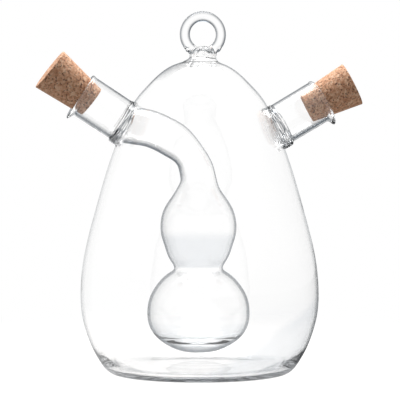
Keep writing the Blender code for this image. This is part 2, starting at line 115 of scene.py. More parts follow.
# Ring seals: beads of glass round the spouts' roots
BEAD_RISE = 0.001  # how far the bead stands out from the tube at the bottom
BEAD_TOP_RISE = 0.0002  # and at the top
BEAD_LEAST_RUN = 0.0003
BEAD_EDGE = 0.0006  # length of the step from the bead down to the tube
BEAD_FILLET = 0.0007  # width of the hollow between the bead and the vessel
BEAD_FINE_STEP = 0.00012
RIPPLE_DEPTH = 0.0003  # the bead's melted glass lies in ripples round the tube
RIPPLE_LENGTH = 0.0009
RIPPLE_SWAY = 1.3
BORE_FILLET = 0.0013
NECK_ROOT_RADIUS = 0.0083  # of the flask's neck where it meets the vessel's wall
NECK_END = 0.005  # where the neck's own path ends, inwards along the spout
NECK_LIFT = 0.0012  # how far above the spout's axis
NECK_JOIN_STEPS = 5
NECK_BORE_END = 0.003  # how far out along the spout the bore gets as narrow as the neck's

# Inner flask
FLASK_WALL = 0.0013
FLASK_BASE_WALL = 0.0045
FLASK_HEEL_HEIGHT = 0.008
FLASK_BOTTOM = FLOOR_HEIGHT + 0.0039
FLASK_OFFSET = -0.0005
LOWER_BULB_RADIUS = 0.023
UPPER_BULB_RADIUS = 0.0171
WAIST_RADIUS = 0.011
NECK_RADIUS = 0.0083
GOURD_HEIGHT = 0.5554 * VESSEL_HEIGHT
LOWER_BULB_SHARES = (
    (0.0, 0.0), (0.2, 0.004), (0.38, 0.015), (0.56, 0.037), (0.72, 0.066), (0.88, 0.112),
    (0.97, 0.165), (1.0, 0.232), (0.96, 0.315), (0.855, 0.378), (0.715, 0.43), (0.57, 0.465),
)
WAIST_HEIGHT_SHARE = 0.487
UPPER_BULB_SHARES = (
    (0.745, 0.54), (0.88, 0.612), (0.985, 0.69), (0.995, 0.755), (0.93, 0.822), (0.76, 0.89),
    (0.59, 0.945),
)
NECK_PATH_SHARES = (
    (0.0, 0.0, 0.99), (0.037, 0.221, 0.93), (0.128, 0.443, 0.85), (0.356, 0.713, 0.96),
    (0.587, 0.868, 0.98), (0.82, 0.97, 1.0),
)

# Corks
CORK_LENGTH = 0.0238
CORK_TOP_RADIUS = 0.0102
CORK_END_RADIUS = 0.0072
CORK_EDGE = 0.0005
# How deep it sits in its mouth, how far it is turned up and to the side, and its pits' shift
LEFT_CORK = (0.006, radians(4.7), radians(2.3), 0.31)
RIGHT_CORK = (0.0082, radians(-3.1), radians(7.5), 0.77)
CORK_SEGMENTS = 160
CORK_ROWS = 84
CORK_EDGE_ROWS = 5
CORK_END_ROWS = 14  # across the narrow end, from CORK_MIDDLE_SHARE of its radius outwards
CORK_TOP_ROWS = 18
CORK_MIDDLE_SHARE = 0.04
CORK_SKIN = 0.00003  # how far the finest bumps stay below the cork's plain surface
GRAIN_FREQUENCY = 2600.0
GRAIN_DEPTH = 0.00006
PORE_FREQUENCY = 900.0
FINE_PORE_RATIO = 2.1  # a second noise is this much finer and FINE_PORE_SHARE as strong
FINE_PORE_SHARE = 0.5
PORE_STRETCH = 0.55
PORE_START = 0.42
PORE_RANGE = 0.3
PORE_DEPTH = 0.00032
# Colours at values of a noise, then each noise's scale, detail and roughness
CORK_TONES = ((0.36, (0.54, 0.25, 0.14)), (0.5, (0.76, 0.42, 0.25)), (0.64, (0.93, 0.63, 0.43)))
CORK_PORE = (0.13, 0.045, 0.03)
CORK_PORE_EDGE = ((0.57, (0.0, 0.0, 0.0)), (0.61, (1.0, 1.0, 1.0)))
CORK_MOTTLE_NOISE = (700.0, 4.0, 0.6)
CORK_PORE_NOISE = (1100.0, 3.0, 0.65)
CORK_GRAIN_NOISE = (1500.0, 6.0, 0.7)
CORK_BUMP_DEPTH = 0.0002
CORK_BUMP_STRENGTH = 0.6
CORK_ROUGHNESS = 0.82

# Glass. Each zone of its skin is a kind of surface. On the vessel they change at FOOT_END and
# CROWN_START, on the finial at FINIAL_START and, in the core between the loop's feet, at
# FINIAL_END, both heights above the rim.
(VESSEL, CAVITY, FLASK, FLASK_INSIDE, SPOUT, BORE, TIP, PUNT, CROWN, FINIAL, SEAL, FOOT,
 LIP) = range(13)
FOOT_END = 0.005
CROWN_START = 0.1305
FINIAL_START = 0.0034
FINIAL_END = 0.0085
FINIAL_CORE_RADIUS = 0.0042
GLASS_IOR = 1.47
GLASS_DARK_SIDE = -0.75  # a surface turned this far from its light has the dark rims below
GLASS_LIGHT_SIDE = 0.35  # and one turned this far towards it the light ones
GLASS_COOLNESS = 0.025  # how far the darkest rims lean from red to blue
WAVE_SCALE = 60.0  # the glass is a little uneven
WAVE_STRENGTH = 0.15
WAVE_HEIGHT = 0.0006
# Ways to the light, by which the rims' painted shade is lighter or darker
FROM_ABOVE = (-0.35, 0.0, 0.94)
FROM_RIGHT = (0.6, 0.0, 0.8)
FROM_FAR_RIGHT = (0.95, 0.0, 0.3)
# Change of the rims' painted shade with height: from which height to which; then below and above,
# how light they are, 1 for the light side's, and how much the side adds
SHOULDER = (0.108, CROWN_START, (0.0, 1.0), (0.0, 0.0))
NEAR_FINIAL = (CROWN_START, 0.137, (1.0, 0.0), (0.0, 1.0))
NECK = (0.08, 0.094, (0.8, 0.2), (0.0, 1.0))
ABOVE_FOOT = (0.0014, FOOT_END, (0.0, 0.0), (0.0, 1.0))
HEEL = (0.007, 0.0085, (0.0, 0.0), (1.0, 0.0))
NO_CHANGE = (0.0, 1.0, (0.0, 1.0), (0.0, 1.0))
# Painted reflection of a darker table, as a grey haze: a direction, how far a surface is turned
# that way where the haze starts and where it is full, and its tone
NO_PAINTED_REFLECTION = ((0.0, 0.0, 0.0), 0.5, 1.0, 1.0)
LOW_RIGHT_PAINTED_REFLECTION = ((0.5, 0.0, -0.87), 0.42, 0.52, 0.9)
LOW_RIGHT_PAINTED_REFLECTION_INSIDE = ((-0.5, 0.0, 0.86), 0.44, 0.7, 0.97)
BULB_PAINTED_REFLECTION = ((0.0, 0.0, -1.0), 0.08, 0.3, 0.92)
BULB_PAINTED_REFLECTION_INSIDE = ((0.0, 0.0, 1.0), 0.08, 0.3, 0.95)
PAINTED_REFLECTION_TOP = 0.076  # and above this height it fades away
PAINTED_REFLECTION_FADE = 0.008
PAINTED_REFLECTION_COOLNESS = 0.15  # how far it leans from red to blue
# Fine lines round the melted seals, darkened as painted shade where they bend the light: noise
# along the spouts, and the tones at its values
STREAK_WAY = (0.85, 0.0, 0.53)
STREAK_SCALE = 1500.0
STREAK_SPREAD = 160.0
STREAK_TONES = ((0.4, 1.0), (0.47, 0.3), (0.51, 0.3), (0.58, 1.0))
# Rims of painted shade, as pairs of 1 minus the cosine of the angle of sight and the glass's tone
# there. Each kind has those of its dark side and of its light side, and can have its own light,
# change with height and painted reflection.
PLAIN_RIM = ((0.9, 1.0), (1.0, 0.9))
FLOOR_RIM = ((0.84, 1.0), (0.92, 0.96), (1.0, 0.86))
PUNT_RIM = ((0.2, 1.0), (0.28, 0.9), (0.4, 0.76), (1.0, 0.72))
VESSEL_RIM = ((0.68, 1.0), (0.73, 0.96), (0.77, 0.9), (0.81, 0.54), (1.0, 0.34))
GLASS_RIMS = {
    VESSEL: (
        VESSEL_RIM,
        ((0.55, 1.0), (0.74, 0.95), (0.8, 0.86), (0.87, 0.74), (1.0, 0.68)),
        FROM_ABOVE, SHOULDER, LOW_RIGHT_PAINTED_REFLECTION,
    ),
    CAVITY: (FLOOR_RIM, PLAIN_RIM, FROM_ABOVE, HEEL, LOW_RIGHT_PAINTED_REFLECTION_INSIDE),
    FLASK: (
        ((0.19, 1.0), (0.26, 0.86), (0.34, 0.6), (0.43, 0.48), (0.5, 0.34), (0.58, 0.16),
         (1.0, 0.12)),
        ((0.38, 1.0), (0.53, 0.9), (0.64, 0.8), (0.71, 0.44), (1.0, 0.34)),
        FROM_RIGHT, NECK, BULB_PAINTED_REFLECTION,
    ),
    FLASK_INSIDE: (PLAIN_RIM, PLAIN_RIM, FROM_ABOVE, NO_CHANGE, BULB_PAINTED_REFLECTION_INSIDE),
    SPOUT: (
        ((0.2, 1.0), (0.25, 0.84), (0.32, 0.78), (0.39, 0.58), (0.46, 0.3), (0.54, 0.16),
         (0.62, 0.26), (0.72, 0.62), (1.0, 0.75)),
        ((0.28, 1.0), (0.36, 0.9), (0.5, 0.84), (0.58, 0.76), (0.65, 0.38), (1.0, 0.3)),
    ),
    BORE: (PLAIN_RIM, PLAIN_RIM),
    TIP: (
        ((0.05, 1.0), (0.12, 0.85), (0.2, 0.6), (0.3, 0.3), (0.41, 0.2), (1.0, 0.12)),
        ((0.05, 1.0), (0.12, 0.92), (0.2, 0.8), (0.3, 0.55), (0.41, 0.42), (1.0, 0.35)),
    ),
    PUNT: (PUNT_RIM, PUNT_RIM),
    CROWN: (
        ((0.48, 1.0), (0.54, 0.82), (0.62, 0.5), (0.7, 0.24), (1.0, 0.15)),
        VESSEL_RIM, FROM_FAR_RIGHT, NEAR_FINIAL,
    ),
    FINIAL: (
        ((0.5, 1.0), (0.66, 0.75), (0.76, 0.35), (1.0, 0.2)),
        ((0.5, 1.0), (0.66, 0.85), (0.76, 0.55), (1.0, 0.35)),
        FROM_FAR_RIGHT,
    ),
    SEAL: (
        ((0.1, 1.0), (0.3, 0.9), (0.6, 0.6), (1.0, 0.5)),
        ((0.1, 1.0), (0.3, 0.92), (0.6, 0.66), (1.0, 0.5)),
    ),
    FOOT: (
        ((0.25, 1.0), (0.45, 0.95), (0.65, 0.85), (1.0, 0.75)),
        VESSEL_RIM, FROM_ABOVE, ABOVE_FOOT, LOW_RIGHT_PAINTED_REFLECTION,
    ),
    LIP: (
        ((0.3, 1.0), (0.5, 0.8), (0.66, 0.45), (0.8, 0.6), (1.0, 0.8)),
        ((0.3, 1.0), (0.5, 0.86), (0.66, 0.6), (0.8, 0.45), (1.0, 0.4)),
    ),
}
GLASS_NODES = (
    "outer_vessel", "inner_flask", "left_spout", "right_spout", "left_ring_seal",
    "right_ring_seal", "top_finial", "hanging_loop",
)

# Light and floor
FILL_STRENGTH = 0.38
KEY_BOX = ((0.0, 0.12, 0.75), (0.0, 0.0, 0.08), 0.7, 0.5, 7.5)
SHADE_WAY = (0.8, 0.0, -0.6)  # the side on which the studio is greyer
# How far that way the shade starts and is full, and its tone: of the world, and of the floor,
# where it is a painted shadow
STUDIO_SHADE = (0.25, 0.75, 0.45)
FLOOR_SHADE = (0.015, 0.05, 0.25)
FLOOR_WIDTH = 6.0
FLOOR_GAP = 0.0002
FLOOR_NEAR = 0.12
FLOOR_FAR = 0.3
FLOOR_GLOW = 0.55
FLOOR_COLOUR = (0.42, 0.41, 0.4)
# The camera's rays, also those that the glass mirrors or lets through
SEEN_RAYS = ("Is Camera Ray", "Is Glossy Ray", "Is Transmission Ray")
WHITE = (1.0, 1.0, 1.0, 1.0)
BOUNCES = 28

# Camera, as the photograph was taken
CAMERA_DISTANCE = 0.85
CAMERA_YAW = radians(8.5)  # to the left of the cruet's own front
CAMERA_HEIGHT = 0.098
CAMERA_LENS = 170.0  # millimetres, on a sensor 36 mm wide
CAMERA_SENSOR = 36.0
CAMERA_CLIP = 0.05
CAMERA_DROP = radians(1.35)
CAMERA_AIM_SIDE = 0.0002

# Fineness of the meshes
COLUMNS = 128  # round the vessel
PATCH = 20  # cells along each side of the square that makes room for a tube
TUBE_SEGMENTS = 4 * PATCH
PATCH_ROW = 0.0015  # height of a row there, along the wall
MERGE_DISTANCE = 0.000002
PATCH_RINGS = 5
FILLET_STEPS = 6
EDGE_STEPS = 5
LIP_STEPS = 8
FINE_STEP = 0.0008
BEND_WEIGHT = 0.005  # rows lie closer where the outline bends: a full radian counts as this much
HALF_REACH = 0.01  # how far along a tube its meeting with a wall is looked for
OUTLINE_STEP = 0.0004
PUNT_POINTS = 120
FLOOR_POINTS = 12
BISECTIONS = 40
ROD_SEGMENTS = 48
LOOP_STEPS = 60
LOOP_FOOT_STEPS = 14
TIP_ROWS = 52
TIP_VOXEL = 0.00025
MELT_PASSES = 12
MELT_FACTOR = 0.5
CRUMPLE_DEPTH = 0.0006
CRUMPLE_FREQUENCY = 700.0
CRUMPLE_LOW = 0.0025  # heights above the rim between which the glass is crumpled
CRUMPLE_HIGH = 0.0085
CRUMPLE_FADE = 0.0015


# Curves


def steps_along(points):
    """The lengths from point to point, and the length up to each point."""
    steps = np.linalg.norm(np.diff(points, axis=0), axis=1)
    return steps, np.concatenate(([0.0], np.cumsum(steps)))


def spline(knots, spacing):
    """Points at about this spacing along the smoothest curve through the knots."""
    knots = np.array(knots, float)
    steps, places = steps_along(knots)
    count = len(knots)
    system, slopes = np.eye(count), np.zeros_like(knots)
    for i in range(1, count - 1):
        a, b = steps[i - 1], steps[i]
        system[i, i - 1:i + 2] = a, 2 * (a + b), b
        slopes[i] = 6 * ((knots[i + 1] - knots[i]) / b - (knots[i] - knots[i - 1]) / a)
    bends = np.linalg.solve(system, slopes)
    at = np.linspace(0.0, places[-1], max(2, int(round(places[-1] / spacing)) + 1))
    cell = np.clip(np.searchsorted(places, at, side="right") - 1, 0, count - 2)
    step = steps[cell][:, None]
    b = (at - places[cell])[:, None] / step
    a = 1 - b
    curve = a * knots[cell] + b * knots[cell + 1]
    return curve + ((a ** 3 - a) * bends[cell] + (b ** 3 - b) * bends[cell + 1]) * step ** 2 / 6


def ease(value):
    t = np.clip(value, 0.0, 1.0)
    return t * t * (3 - 2 * t)


def blend(start, end, share):
    """From one value to another, gently at both ends."""
    return start + (end - start) * ease(share)


def directions(points):
    way = np.gradient(points, axis=0)
    return way / np.linalg.norm(way, axis=1)[:, None]


def inset(points, base, wall, heel):
    """An outline that runs up, moved inwards by a wall that gets thinner up to its heel."""
    way = directions(points)
    wall = blend(base, wall, points[:, 1] / heel)[:, None]
    return points + wall * np.stack((-way[:, 1], way[:, 0]), axis=1)


def turns_of(count):
    return 2 * pi * np.arange(count) / count


def circle(turns, across, up):
    """A circle's points at these turns, from the first of two ways to the second."""
    return np.cos(turns)[:, None] * across + np.sin(turns)[:, None] * up


# Skins: points and faces put together ring by ring


class Skin:
    def __init__(self):
        self.points = []
        self.faces = []
        self.kinds = []

    def ring(self, points):
        first = len(self.points)
        self.points.extend(tuple(float(v) for v in point) for point in points)
        return list(range(first, len(self.points)))

    def face(self, corners, kind):
        self.faces.append(tuple(corners))
        self.kinds.append(kind)

    def join(self, low, high, kind):
        for i, (a, d) in enumerate(zip(low, high)):
            j = (i + 1) % len(low)
            self.face((a, low[j], high[j], d), kind)

    def tube(self, rings, kind, start=None):
        """Joins rings of points one after the other and returns the last ring."""
        last = start
        for points in rings:
            ring = self.ring(points)
            if last is not None:
                self.join(last, ring, kind)
            last = ring
        return last

    def fan(self, ring, tip, kind):
        middle = self.ring([tip])[0]
        for i, a in enumerate(ring):
            self.face((a, ring[(i + 1) % len(ring)], middle), kind)

    def add_mesh(self, mesh, kind):
        """Adds a mesh and returns the points on its open edges."""
        first = len(self.points)
        self.points.extend(tuple(v.co) for v in mesh.vertices)
        uses = {}
        for polygon in mesh.polygons:
            self.face([first + v for v in polygon.vertices], kind)
            for edge in polygon.edge_keys:
                uses[edge] = uses.get(edge, 0) + 1
        return sorted({first + v for edge, count in uses.items() if count == 1 for v in edge})

    def set_kinds(self, first, kind_at):
        """Sets the kind of each face from this one on by the place of its first corner."""
        for i, face in enumerate(self.faces[first:], first):
            self.kinds[i] = kind_at(self.points[face[0]])

    def to_mesh(self, name):
        mesh = bpy.data.meshes.new(name)
        mesh.from_pydata(self.points, [], self.faces)
        mesh.polygons.foreach_set("material_index", self.kinds)
        bm = bmesh.new()
        bm.from_mesh(mesh)
        bmesh.ops.remove_doubles(bm, verts=bm.verts, dist=MERGE_DISTANCE)
        loose = [v for v in bm.verts if not v.link_faces]
        bmesh.ops.delete(bm, geom=loose, context="VERTS")
        bmesh.ops.recalc_face_normals(bm, faces=bm.faces)
        bm.to_mesh(mesh)
        bm.free()
        mesh.shade_smooth()
        return mesh


TURNS = turns_of(TUBE_SEGMENTS)
DRAWN = (0.5 * (1 - np.sin(TURNS))) ** 2  # 0 along a tube's highest line, 1 along its lowest
BEAD_RADIUS = ROOT_RADIUS + BEAD_TOP_RISE + (BEAD_RISE - BEAD_TOP_RISE) * DRAWN


class Tube:
    """A straight tube's frame: its origin, the way out along it, and two ways across it.

    Turn 0 is to the side and a quarter turn is up, so all rings round it have their points alike.
    """

    def __init__(self, outline, side, rise, height, length, bead_reach):
        radius = np.interp(height, outline[:, 1], outline[:, 0])
        self.side, self.length, self.bead_reach = side, length, bead_reach
        self.matrix = Matrix.Translation((side * radius, 0.0, height)) @ Matrix.Rotation(
            side * (0.5 * pi - rise), 4, "Y"
        )
        self.origin = np.array(self.matrix.translation)
        self.way = np.array(self.matrix.col[2][:3])
        self.across = np.array((0.0, side, 0.0))
        self.up = np.array((-side * self.way[2], 0.0, side * self.way[0]))

    def ring(self, radius, height):
        radius = np.broadcast_to(radius, TUBE_SEGMENTS)[:, None]
        height = np.broadcast_to(height, TUBE_SEGMENTS)[:, None]
        return self.origin + radius * circle(TURNS, self.across, self.up) + height * self.way


class Turned:
    """A surface turned about the z axis, from an outline of radius and height that runs up."""

    def __init__(self, outline):
        self.outline = outline
        self.along = steps_along(outline)[1]
        shoulder = slice(np.argmax(outline[:, 0]), np.argmax(outline[:, 1]) + 1)
        self.radii, self.heights = outline[shoulder].T
        self.places = self.along[shoulder]

    def rows(self):
        """Lengths along the outline, closer together where it bends."""
        way = np.diff(self.outline, axis=0)
        turn = np.unwrap(np.arctan2(way[:, 1], way[:, 0]))
        bent = np.concatenate(([0.0], np.cumsum(np.abs(np.diff(turn))), [0.0]))
        bent[-1] = bent[-2]
        measure = self.along + BEND_WEIGHT * bent
        count = int(measure[-1] / PATCH_ROW)
        return np.interp(np.linspace(0.0, measure[-1], count), measure, self.along)

    def at(self, along):
        """Radius and height at lengths along the outline."""
        return [np.interp(along, self.along, values) for values in self.outline.T]

    def points(self, turns, along):
        radius, height = self.at(along)
        x, y = radius * np.cos(turns), radius * np.sin(turns)
        return np.stack((x, y, np.broadcast_to(height, x.shape)), axis=-1)

    def depths(self, tube, radius):
        """How far out along the tube each line at this radius round it meets the surface."""
        base = tube.ring(radius, 0.0)
        low = np.full(TUBE_SEGMENTS, -HALF_REACH)
        high = np.full(TUBE_SEGMENTS, HALF_REACH)
        for _ in range(BISECTIONS):
            middle = 0.5 * (low + high)
            place = base + middle[:, None] * tube.way
            wall = np.interp(place[:, 2], self.heights, self.radii)
            outside = np.hypot(place[:, 0], place[:, 1]) > wall
            high = np.where(outside, middle, high)
            low = np.where(outside, low, middle)
        return 0.5 * (low + high)


def patch_border(column, row):
    """The corners round a square of cells, counted like the points of a ring round a tube."""
    half = PATCH // 2
    steps = [(0, 1)] * half + [(-1, 0)] * PATCH + [(0, -1)] * PATCH + [(1, 0)] * PATCH
    steps += [(0, 1)] * (half - 1)
    places = [(column + half, row)]
    for across, up in steps:
        places.append((places[-1][0] + across, places[-1][1] + up))
    return places


def turned_skin(skin, surface, kind, tubes):
    """The surface, closed below and open round each tube; returns its top ring and the openings.

    tubes gives pairs of a tube and the radius of its opening. A few rings of their own lie between
    the opening and the square of cells that makes room for it.
    """
    rows = surface.rows()
    rows = rows[surface.at(rows)[0] > MERGE_DISTANCE]
    grid = [skin.ring(surface.points(turns_of(COLUMNS), along)) for along in rows]
    left_out, openings = set(), []
    half = PATCH // 2
    for tube, radius in tubes:
        about = 0.0 if tube.side > 0 else pi
        column = 0 if tube.side > 0 else COLUMNS // 2
        rim = tube.ring(radius, surface.depths(tube, radius))
        turns = about + (np.arctan2(rim[:, 1], rim[:, 0]) - about + pi) % (2 * pi) - pi
        along = np.interp(rim[:, 2], surface.heights, surface.places)
        row = int(np.argmin(np.abs(rows - 0.5 * (along.min() + along.max()))))
        border = patch_border(column, row)
        columns, levels = np.transpose(border)
        border_turns, border_along = 2 * pi * columns / COLUMNS, rows[levels]
        opening = skin.ring(surface.points(turns, along))
        rings = [
            surface.points(
                turns + share * (border_turns - turns), along + share * (border_along - along)
            )
            for share in np.arange(1, PATCH_RINGS) / PATCH_RINGS
        ]
        last = skin.tube(rings, kind, opening)
        skin.join(last, [grid[r][c % COLUMNS] for c, r in border], kind)
        openings.append(opening)
        left_out |= {
            (c % COLUMNS, r)
            for c in range(column - half, column + half) for r in range(row - half, row + half)
        }
    for r in range(len(grid) - 1):
        for c in range(COLUMNS):
            if (c, r) not in left_out:
                d = (c + 1) % COLUMNS
                skin.face((grid[r][c], grid[r][d], grid[r + 1][d], grid[r + 1][c]), kind)
    skin.fan(grid[0], (0.0, 0.0, surface.outline[0, 1]), kind)
    return grid[-1], openings


def fillet(surface, tube, radius, width, rise):
    """Rings from the surface into a tube of this radius, but not the first, on the surface."""
    start = tube.ring(radius + width, surface.depths(tube, radius + width))
    depths = surface.depths(tube, radius)
    corner = tube.ring(radius, depths)
    end = tube.ring(radius, depths + rise)
    rings = [
        (1 - t) ** 2 * start + 2 * t * (1 - t) * corner + t * t * end
        for t in np.arange(1, FILLET_STEPS + 1) / FILLET_STEPS
    ]
    return rings, depths + rise


def tube_run(tube, start, end, radius_at, step=FINE_STEP):
    """Rings along a tube from one height to another; both may differ round the tube."""
    run = float(np.max(np.abs(np.subtract(end, start))))
    count = max(2, round(run / step))
    return [
        tube.ring(radius_at(share), start + share * (end - start))
        for share in np.linspace(0.0, 1.0, count + 1)[1:]
    ]


def between(start, end):
    """Rings that lead evenly from one ring to another, without these two."""
    shares = np.linspace(0.0, 1.0, NECK_JOIN_STEPS + 1)[1:-1]
    return [start + share * (end - start) for share in shares]


# Outlines


def bowed(radius, low, high, count):
    """Points from the middle out to a radius, over a low hill."""
    share = np.linspace(0.0, 1.0, count, endpoint=False)
    height = low + (high - low) * 0.5 * (1 + np.cos(pi * share))
    return np.stack((radius * share, height), axis=1)


def vessel_outlines():
    """The vessel's outside up to the finial's top, and its inside up to the finial's glass."""
    body = np.array(VESSEL_OUTLINE_SHARES) * (BELLY_RADIUS, VESSEL_HEIGHT)
    rim = body[-1, 0]
    tip = [
        (FINIAL_WAIST_RADIUS + r * (rim - FINIAL_WAIST_RADIUS), VESSEL_HEIGHT + z * FINIAL_HEIGHT)
        for r, z in FINIAL_FLARE_SHARES
    ]
    top = VESSEL_HEIGHT + FINIAL_HEIGHT
    tip += [(r * FINIAL_TOP_RADIUS, top + z * FINIAL_CROWN) for r, z in FINIAL_TOP_SHARES]
    punt = bowed(PUNT_RADIUS, 0.0, PUNT_DEPTH, PUNT_POINTS)
    calm = np.sin(pi * punt[:, 0] / PUNT_RADIUS)
    punt[:, 1] += PUNT_RING_DEPTH * calm * np.sin(2 * pi * punt[:, 0] / PUNT_RING_LENGTH)
    side = spline(np.concatenate((body, tip)), OUTLINE_STEP)
    side[:, 1] = np.maximum(side[:, 1], 0.0)
    outside = np.concatenate((punt, side))

    wall = inset(side[side[:, 1] <= VESSEL_HEIGHT], FOOT_WALL, VESSEL_WALL, HEEL_HEIGHT)
    wall = wall[wall[:, 1] > FOOT_WALL + FLOOR_EDGE_RISE]
    wall = wall[wall[:, 0] > PLUG_SPREAD_SHARE * rim][::WALL_KNOT_STEP]
    floor = bowed(wall[0, 0], wall[0, 1], FLOOR_HEIGHT, FLOOR_POINTS)
    plug = [(r * rim, VESSEL_HEIGHT - z * FINIAL_PLUG_DEPTH) for r, z in PLUG_SHARES]
    inside = spline(np.concatenate((floor, wall, plug)), OUTLINE_STEP)
    return outside, inside


# Glass


def leaned(points):
    """The finial and the loop lean a little to the right of the vessel's axis."""
    points = np.array(points, float)
    waist = VESSEL_HEIGHT + FINIAL_FLARE_SHARES[-1][1] * FINIAL_HEIGHT
    points[:, 0] += TIP_LEAN * ease((points[:, 2] - VESSEL_HEIGHT) / (waist - VESSEL_HEIGHT))
    return points


def loop_path():
    """The rod's middle line from one sunk foot over the top to the other, as x and z."""
    half = [
        (LOOP_RADIUS * sin(t), LOOP_RADIUS * cos(t))
        for t in np.linspace(0.0, LOOP_SWEEP, LOOP_STEPS)
    ]
    x = half[-1][0] + LOOP_LEG * cos(LOOP_SWEEP)
    z = half[-1][1] - LOOP_LEG * sin(LOOP_SWEEP)
    for t in np.linspace(LOOP_SWEEP, 0.5 * pi, LOOP_FOOT_STEPS):
        run, rise = sin(LOOP_SWEEP) - sin(t), cos(LOOP_SWEEP) - cos(t)
        half.append((x + LOOP_FOOT_BEND_RADIUS * run, z + LOOP_FOOT_BEND_RADIUS * rise))
    foot = half[-1][1] - LOOP_STUB
    for t in np.linspace(0.0, 1.0, LOOP_FOOT_STEPS)[1:]:
        half.append((half[-1][0], foot - LOOP_SINK * t))
    rise = VESSEL_HEIGHT + FINIAL_HEIGHT - foot
    line = [(-x, z + rise) for x, z in reversed(half[1:])] + [(x, z + rise) for x, z in half]
    return np.array(line)


def made_object(name, data):
    piece = bpy.data.objects.new(name, data)
    bpy.context.scene.collection.objects.link(piece)
    return piece


def closed_object(name, rings):
    """An object of rings closed with a flat face at each end."""
    skin = Skin()
    first = skin.ring(rings[0])
    last = skin.tube(rings[1:], 0, first)
    skin.face(first, 0)
    skin.face(last, 0)
    return made_object(name, skin.to_mesh(name))


def tip_mesh(rings):
    """The finial and the loop melted into one mesh, open at the level of TIP_CUT."""
    finial = closed_object("finial_part", rings)
    path = loop_path()
    rod_rings = []
    for (x, z), (run, rise) in zip(path, directions(path)):
        out = circle(turns_of(ROD_SEGMENTS), (-rise, 0.0, run), (0.0, 1.0, 0.0))
        rod_rings.append(LOOP_ROD_RADIUS * out + (x + TIP_LEAN, 0.0, z))
    rod = closed_object("loop_part", rod_rings)
    union = finial.modifiers.new("union", "BOOLEAN")
    union.operation = "UNION"
    union.solver = "EXACT"
    union.object = rod
    melt = finial.modifiers.new("melt", "REMESH")
    melt.mode = "VOXEL"
    melt.voxel_size = TIP_VOXEL
    depsgraph = bpy.context.evaluated_depsgraph_get()
    mesh = bpy.data.meshes.new_from_object(finial.evaluated_get(depsgraph))
    bpy.data.objects.remove(finial)
    bpy.data.objects.remove(rod)

    bm = bmesh.new()
    bm.from_mesh(mesh)
    for _ in range(MELT_PASSES):
        bmesh.ops.smooth_vert(
            bm, verts=bm.verts, factor=MELT_FACTOR, use_axis_x=True, use_axis_y=True,
            use_axis_z=True,
        )
    bm.normal_update()
    for v in bm.verts:
        height = v.co.z - VESSEL_HEIGHT
        share = ease((height - CRUMPLE_LOW) / CRUMPLE_FADE)
        share *= ease((CRUMPLE_HIGH - height) / CRUMPLE_FADE)
        if share > 0.0:
            bump = noise.noise(v.co * CRUMPLE_FREQUENCY)
            v.co += CRUMPLE_DEPTH * float(share) * bump * v.normal
    cut = Vector((0.0, 0.0, VESSEL_HEIGHT + TIP_CUT))
    everything = bm.verts[:] + bm.edges[:] + bm.faces[:]
    bmesh.ops.bisect_plane(
        bm, geom=everything, dist=MERGE_DISTANCE, plane_co=cut, plane_no=(0.0, 0.0, 1.0),
        clear_inner=True,
    )
    bm.to_mesh(mesh)
    bm.free()
    return mesh


def zip_rings(skin, low, high, kind):
    """Triangles between two rings round the z axis that have different numbers of points."""
    def by_turn(ring):
        turned = sorted((np.arctan2(skin.points[i][1], skin.points[i][0]), i) for i in ring)
        return turned + [(turned[0][0] + 2 * pi, turned[0][1])]

    low, high = by_turn(low), by_turn(high)
    while len(low) > 1 or len(high) > 1:
        a, b = low[0][1], high[0][1]
        ring = low if len(high) == 1 or (len(low) > 1 and low[1][0] < high[1][0]) else high
        ring.pop(0)
        skin.face((a, ring[0][1], b), kind)


def mouth_rings(tube, bead_end):
    """Rings from the end of the bead out to the lip, and round it to the bore's edge."""
    outer, length = ROOT_RADIUS + SPOUT_FLARE, tube.length
    rings = tube_run(
        tube, bead_end, length - LIP_RUN, lambda share: ROOT_RADIUS + SPOUT_FLARE * share
    )
    for share in np.linspace(0.0, 1.0, LIP_STEPS)[1:]:
        height = length - LIP_RUN + (LIP_RUN - LIP_LENGTH) * share
        rings.append(tube.ring(outer + LIP_BACK_SHARE * POUR_REACH * DRAWN * share ** 2, height))
    wall = outer + LIP_REACH - BORE_RADIUS
    for turn in np.linspace(pi, 0.0, 2 * LIP_STEPS):
        share = 0.5 * (1 - cos(turn))
        height = length - 0.5 * LIP_LENGTH * (1 - sin(turn))
        rings.append(tube.ring(BORE_RADIUS + (wall + POUR_REACH * DRAWN) * share, height))
    return rings


def bore_rings(tube, start):
    """Rings of the bore from its root out to just behind the lip."""
    seat = tube.length - SEAT_DEPTH
    rings = tube_run(tube, start, seat, lambda share: blend(ROOT_BORE_RADIUS, BORE_RADIUS, share))
    return rings + tube_run(tube, seat, tube.length - LIP_LENGTH, lambda share: BORE_RADIUS)


def ripple(share, height):
    """The melted bead's ripples at this height along the tube, calm at both ends of the bead."""
    phase = 2 * pi * height / RIPPLE_LENGTH + RIPPLE_SWAY * np.sin(2 * TURNS)
    return RIPPLE_DEPTH * sin(pi * share) ** 0.5 * np.sin(phase)


def beaded_root(skin, surface, tube, opening):
    """The outside from the vessel over the bead to the plain tube: its last ring and height."""
    rings, height = fillet(surface, tube, BEAD_RADIUS, BEAD_FILLET, BEAD_FILLET)
    crest = np.maximum(height + BEAD_LEAST_RUN, tube.bead_reach - BEAD_EDGE)
    rings += tube_run(
        tube, height, crest,
        lambda share: BEAD_RADIUS + ripple(share, height + share * (crest - height)),
        BEAD_FINE_STEP,
    )
    for share in np.linspace(0.0, 1.0, EDGE_STEPS + 1)[1:]:
        radius = blend(BEAD_RADIUS, ROOT_RADIUS, share)
        rings.append(tube.ring(radius, crest + BEAD_EDGE * share))
    return skin.tube(rings, SEAL, opening), crest + BEAD_EDGE


